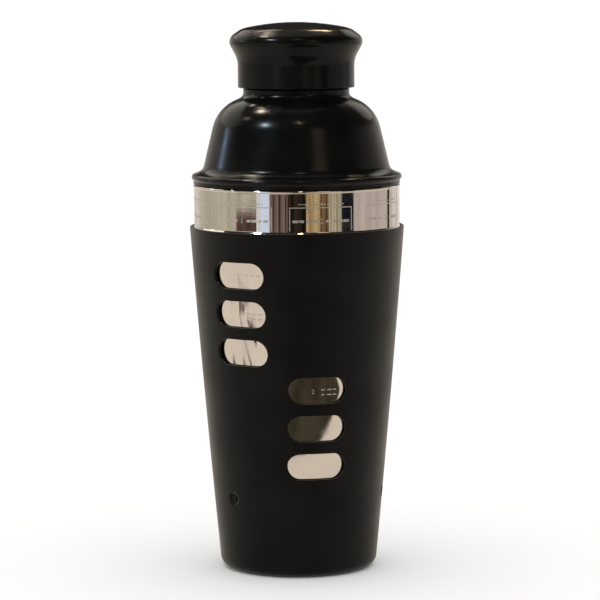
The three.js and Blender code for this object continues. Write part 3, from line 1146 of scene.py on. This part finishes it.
def glow(name, first, second, streaks):
    """A light of two colours, mixed in upright streaks or, on the table, in mottling."""
    streak_stretch = (1, 1, 0.12)
    ramp_start, ramp_end = 0.43, 0.58
    material = bpy.data.materials.new(name)
    material.use_nodes = True
    tree = material.node_tree
    tree.nodes.remove(tree.nodes["Principled BSDF"])
    light = add_node(tree, "Emission")
    tree.links.new(light.outputs["Emission"], tree.nodes["Material Output"].inputs["Surface"])
    noise = surface_noise(tree, streaks, 5, streak_stretch)
    tone = colour_ramp(tree, noise, first, second, ramp_start, ramp_end)
    tree.links.new(tone, light.inputs["Color"])
    return material


BEIGE = (0.7, 0.64, 0.52)
PINK_BEIGE = (0.7, 0.61, 0.56)
PALE_GREY = (0.93, 0.88, 0.84)
BLUE_WHITE = (0.85, 1.0, 1.3)
BLACK = (0.008, 0.009, 0.007)
NAVY = (0.014, 0.016, 0.03)
DARK_BROWN = (0.05, 0.03, 0.02)
WARM_BROWN = (0.27, 0.16, 0.08)
YELLOW = (0.85, 0.66, 0.36)
OLIVE = (0.36, 0.32, 0.17)
GREY_BROWN = (0.25, 0.19, 0.165)
MAROON = (0.12, 0.03, 0.03)
DIM = (0.03, 0.027, 0.025)
SIDE_LIGHT = (0.9, 0.8, 0.7)
GROUND = (0.075, 0.062, 0.04)
FLOOR_TONE = (0.93, 0.925, 0.915)
TABLE_TONE = (0.84, 0.74, 0.63)

# The room that the steel mirrors, as upright cards: first and last azimuth from the camera, height of the
# top, two colours and the fineness of their streaks
ROOM_DISTANCE = 1.3
WALL_TOP = 0.36
LOW_TOP = 0.075
ROOM_CARDS = [
    (-225, -135, WALL_TOP, PALE_GREY, PINK_BEIGE, 6),
    (-135, -45, WALL_TOP, BEIGE, shade(BEIGE, 0.8), 5),
    (-70, -45, LOW_TOP, MAROON, BLACK, 26),
    (-45, -30, WALL_TOP, BLUE_WHITE, PALE_GREY, 14),
    (-30, -10, WALL_TOP, GREY_BROWN, DARK_BROWN, 20),
    (-10, 10, WALL_TOP, BLACK, DARK_BROWN, 10),
    (10, 25, WALL_TOP, WARM_BROWN, YELLOW, 40),
    (25, 35, WALL_TOP, DARK_BROWN, WARM_BROWN, 26),
    (35, 50, WALL_TOP, OLIVE, BEIGE, 36),
    (50, 65, WALL_TOP, NAVY, BLACK, 16),
    (65, 120, WALL_TOP, PINK_BEIGE, shade(PINK_BEIGE, 0.85), 5),
    (120, 125, WALL_TOP, DARK_BROWN, BLACK, 10),
    (125, 135, WALL_TOP, PALE_GREY, PINK_BEIGE, 8),
]
CARD_SPAN = 15


def room_cards():
    """Upright cards round the shaker. A lower card stands a little nearer, so that it shows."""
    bottom = 0.001
    nearer = 0.05
    for first, last, top, colour, other, streaks in ROOM_CARDS:
        distance = ROOM_DISTANCE - (WALL_TOP - top) * nearer
        pieces = max(1, round((last - first) / CARD_SPAN))
        material = glow("room_glow", colour, other, streaks)
        for piece in range(pieces):
            start = first + (last - first) * piece / pieces
            end = first + (last - first) * (piece + 1) / pieces
            low = [toward(azimuth, 0, distance, bottom) for azimuth in (start, end)]
            high = [toward(azimuth, 0, distance, top) for azimuth in (end, start)]
            seen_only_in_reflections(stage_mesh("room_card", low + high, material))


def table_card(start, end, width, layer, material):
    """A strip that lies on the table between two places, each given as (right, ahead) of the shaker."""
    side = (end - start).orthogonal().normalized() * width / 2
    lowest, layer_step = 0.0006, 0.0001
    lift = lowest + layer_step * layer
    corners = []
    for right, ahead in (start - side, end - side, end + side, start + side):
        azimuth = math.degrees(math.atan2(right, ahead))
        corners.append(toward(azimuth, 0, math.hypot(right, ahead), lift))
    seen_only_in_reflections(stage_mesh("table_card", corners, material))


def table_cards():
    """Dark ground past the table's edge, on the camera's side, and ten dark things at the left."""
    ground = glow("ground_glow", GROUND, shade(GROUND, 0.55), 7)
    near, far = Vector((0.1, 0.21)), Vector((0.1, 1.2))
    ground_width = 0.34
    table_card(near, far, ground_width, 0, ground)
    chance = random.Random(5)
    things = 10
    for layer in range(1, things + 1):
        colour, other = chance.sample((BLACK, DARK_BROWN, GREY_BROWN, NAVY), 2)
        start = Vector((chance.uniform(-0.62, -0.36), chance.uniform(-0.08, 0.3)))
        turn, length = chance.uniform(0.1, 1.5), chance.uniform(0.05, 0.2)
        end = start + length * Vector((math.cos(turn), math.sin(turn)))
        thing = glow("thing_glow", colour, other, 40)
        table_card(start, end, chance.uniform(0.008, 0.03), layer, thing)


# Lamps: azimuth from the camera, elevation, width and height in metres, colour and radiance
LAMP_DISTANCE = 2.0
COOL = (0.75, 0.88, 1.0)
BLUE = (0.5, 0.7, 1.0)
WARM = (1.0, 0.87, 0.68)
AMBER = (1.0, 0.8, 0.5)
IVORY = (1.0, 0.94, 0.84)
LAMPS = [
    ("lamp_cool_front", -50, 38, 0.24, 0.22, COOL, 150),
    ("window_cool_left", -110, 12, 0.15, 0.1, BLUE, 34),
    ("window_cool_halo", -110, 14, 0.36, 0.26, BLUE, 2),
    ("lamp_warm_high", -110, 62, 0.36, 0.22, WARM, 75),
    ("lamp_warm_side", -95, 43, 0.14, 0.14, WARM, 30),
    ("lamp_warm_rear_left", -140, 60, 0.36, 0.12, WARM, 40),
    ("lamp_warm_bead", -160, 47, 0.6, 0.12, WARM, 24),
    ("lamp_warm_rear_right", 160, 52, 0.45, 0.2, AMBER, 60),
    ("lamp_warm_front", 5, 49, 0.14, 0.22, AMBER, 26),
    ("wall_brown_right", 30, 20, 0.5, 0.9, AMBER, 1.8),
    ("ceiling_left", -132, 30, 2.4, 1.0, IVORY, 1.5),
    ("ceiling_right", 148, 27, 1.2, 0.8, IVORY, 1.3),
    ("ceiling_middle", 180, 80, 1.4, 1.4, IVORY, 0.5),
]


def lamp(name, azimuth, elevation, width, height, colour, radiance):
    """A soft lamp that faces the shaker."""
    data = bpy.data.lights.new(name, "AREA")
    data.shape = "ELLIPSE"
    data.size = width
    data.size_y = height
    data.color = colour
    data.energy = radiance * math.pi * (math.pi / 4) * width * height
    thing = add_object(name, data)
    thing.location = toward(azimuth, elevation, LAMP_DISTANCE)
    aim = toward(0, 0, 0) - thing.location
    thing.rotation_euler = aim.to_track_quat("-Z", "Y").to_euler()
    thing.visible_camera = False
    thing.visible_diffuse = False


def floor():
    """A plain pale floor. What the steel mirrors of it is the warmer tone of a pale table."""
    half = 20
    look = Look("pale_floor", FLOOR_TONE, 0.8, Specular_IOR_Level=0.1)
    tone = mix_colours(look.tree, FLOOR_TONE, TABLE_TONE, glossy_rays(look.tree))
    look.tree.links.new(tone, look.shader.inputs["Base Color"])
    corners = [(-half, -half, 0), (half, -half, 0), (half, half, 0), (-half, half, 0)]
    stage_mesh("floor", corners, look.material)


def world():
    """White all round for the floor and the view. In reflections, a dim room with light low down at both
    sides, from beside the shaker to behind it."""
    white = bpy.data.worlds.new("soft_studio")
    white.use_nodes = True
    bpy.context.scene.world = white
    tree = white.node_tree

    def calculate(operation, *sources):
        step = add_node(tree, "Math")
        step.operation = operation
        for source, value in zip(sources, step.inputs):
            tree.links.new(source, value)
        return step.outputs["Value"]

    places = add_node(tree, "TexCoord")
    from_camera = add_node(tree, "Mapping", Rotation=(0, 0, -math.radians(CAMERA_AZIMUTH)))
    axes = add_node(tree, "SeparateXYZ")
    tree.links.new(places.outputs["Generated"], from_camera.inputs["Vector"])
    tree.links.new(from_camera.outputs["Vector"], axes.inputs["Vector"])
    across = calculate("ABSOLUTE", axes.outputs["X"])
    sideways = map_range(tree, across, From_Min=0.15, From_Max=0.4)
    behind = map_range(tree, axes.outputs["Y"], From_Min=-0.25, From_Max=0.1)
    low = map_range(tree, axes.outputs["Z"], From_Min=0.35, From_Max=0.1)
    amount = calculate("MULTIPLY", calculate("MULTIPLY", sideways, behind), low)
    room = mix_colours(tree, DIM, SIDE_LIGHT, amount)
    light = tree.nodes["Background"]
    set_inputs(light, Strength=1.15)
    tree.links.new(mix_colours(tree, (1, 1, 1), room, glossy_rays(tree)), light.inputs["Color"])


def camera():
    data = bpy.data.cameras.new("camera")
    data.lens = CAMERA_LENS
    data.shift_x = CAMERA_SHIFT
    data.clip_end = 100
    thing = add_object("camera", data)
    thing.location = around(CAMERA_DISTANCE, CAMERA_AZIMUTH, CAMERA_HEIGHT)
    thing.rotation_mode = "XYZ"
    thing.rotation_euler = (math.pi / 2 - CAMERA_PITCH, 0, math.radians(CAMERA_AZIMUTH))
    thing.rotation_euler.rotate_axis("Z", CAMERA_ROLL)
    bpy.context.scene.camera = thing


camera()
build_object()
floor()
world()
room_cards()
table_cards()
for settings in LAMPS:
    lamp(*settings)
bpy.context.scene.view_settings.view_transform = "Standard"
